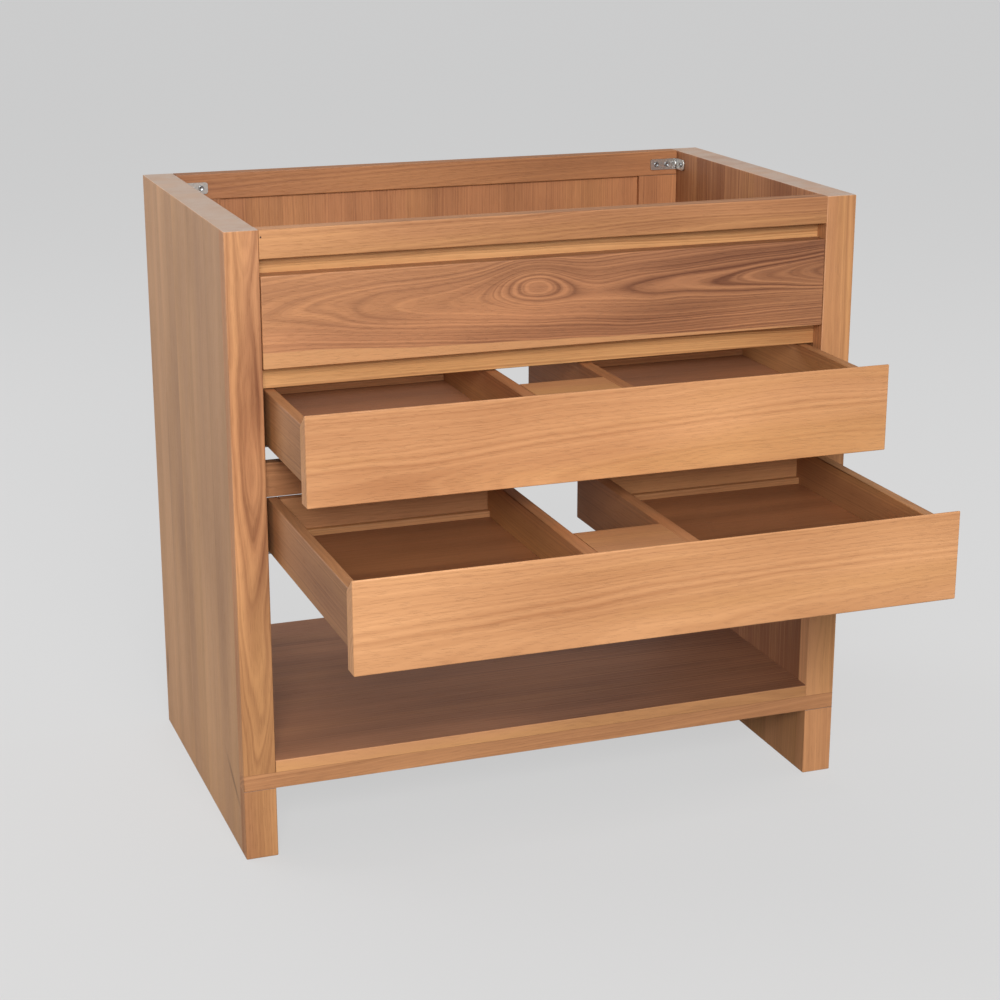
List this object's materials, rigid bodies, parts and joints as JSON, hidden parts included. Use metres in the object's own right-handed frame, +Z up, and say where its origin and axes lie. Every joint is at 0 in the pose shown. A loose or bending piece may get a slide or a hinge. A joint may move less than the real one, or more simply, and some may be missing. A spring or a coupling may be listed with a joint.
{
  "type": "bathroom vanity cabinet",
  "caption": "Free-standing wooden vanity cabinet without top or basin: false front, handleless drawers notched round the waste pipe on concealed slides, and an open low shelf.",
  "frame": {"origin": "on the floor, at the middle of the rectangle that the cabinet and its part-open drawers cover at rest", "axes": "+X to the right as seen from in front, +Y towards the wall behind, +Z up; the drawers open towards -Y"},
  "size_m": [0.9, 0.92, 0.87],
  "materials": {
    "teak_case": "oiled teak, satin, straight grain",
    "teak_front": "oiled teak, satin, straight orange-tan grain",
    "teak_figured": "oiled teak, satin, flat-sawn cathedral figure with a knot",
    "teak_sapwood": "oiled teak with pale yellowish sapwood, satin",
    "teak_inside": "oiled teak, darker brown, satin",
    "teak_shelf": "oiled teak, dark brown boards, satin",
    "zinc_plate": "zinc-plated strip",
    "slide_steel": "galvanised rolled steel"
  },
  "bodies": {
    "cabinet": {"left_side_panel": "teak_case", "left_stile": "teak_case", "left_leg_front": "teak_case", "right_side_panel": "teak_case", "right_stile": "teak_case", "right_leg_front": "teak_case", "bottom_rail": "teak_case", "top_front_rail": "teak_case", "false_front": "teak_figured", "upper_inner_rail": "teak_sapwood", "lower_inner_rail": "teak_sapwood", "mid_rail": "teak_case", "shelf": "teak_shelf", "shelf_rear_rail": "teak_inside", "left_shelf_cleat": "teak_inside", "right_shelf_cleat": "teak_inside", "back_top_rail": "teak_case", "left_back_stile": "teak_case", "right_back_stile": "teak_case", "back_lower_rail": "teak_case", "back_panel": "teak_case", "left_corner_bracket": "zinc_plate", "right_corner_bracket": "zinc_plate", "upper_left_cabinet_slide": "slide_steel", "upper_right_cabinet_slide": "slide_steel", "lower_left_cabinet_slide": "slide_steel", "lower_right_cabinet_slide": "slide_steel"},
    "upper_drawer": {"upper_drawer_front": "teak_front", "upper_drawer_left_side": "teak_front", "upper_drawer_right_side": "teak_front", "upper_drawer_left_partition": "teak_inside", "upper_drawer_left_back": "teak_inside", "upper_drawer_left_batten": "teak_sapwood", "upper_drawer_right_partition": "teak_inside", "upper_drawer_right_back": "teak_inside", "upper_drawer_right_batten": "teak_sapwood", "upper_drawer_bridge": "teak_inside", "upper_drawer_cross_piece": "teak_inside", "upper_drawer_bottom": "teak_inside", "upper_left_drawer_slide": "slide_steel", "upper_right_drawer_slide": "slide_steel"},
    "upper_runners": {"upper_left_runner": "slide_steel", "upper_right_runner": "slide_steel"},
    "lower_drawer": {"lower_drawer_front": "teak_front", "lower_drawer_left_side": "teak_front", "lower_drawer_right_side": "teak_front", "lower_drawer_left_partition": "teak_inside", "lower_drawer_left_back": "teak_inside", "lower_drawer_left_batten": "teak_sapwood", "lower_drawer_right_partition": "teak_inside", "lower_drawer_right_back": "teak_inside", "lower_drawer_right_batten": "teak_sapwood", "lower_drawer_bridge": "teak_inside", "lower_drawer_cross_piece": "teak_inside", "lower_drawer_bottom": "teak_inside", "lower_left_drawer_slide": "slide_steel", "lower_right_drawer_slide": "slide_steel"},
    "lower_runners": {"lower_left_runner": "slide_steel", "lower_right_runner": "slide_steel"}
  },
  "joints": [
    {"name": "upper_drawer_travel", "type": "slide", "parent": "cabinet", "child": "upper_drawer", "axis": [0, -1, 0], "range_m": [-0.195, 0.205]},
    {"name": "lower_drawer_travel", "type": "slide", "parent": "cabinet", "child": "lower_drawer", "axis": [0, -1, 0], "range_m": [-0.39, 0.01]},
    {"name": "upper_runner_travel", "type": "slide", "parent": "cabinet", "child": "upper_runners", "axis": [0, -1, 0], "range_m": [-0.0975, 0.1025]},
    {"name": "lower_runner_travel", "type": "slide", "parent": "cabinet", "child": "lower_runners", "axis": [0, -1, 0], "range_m": [-0.195, 0.005]}
  ],
  "couplings": [
    {"joint": "upper_runner_travel", "follows": "upper_drawer_travel", "ratio": 0.5},
    {"joint": "lower_runner_travel", "follows": "lower_drawer_travel", "ratio": 0.5}
  ]
}
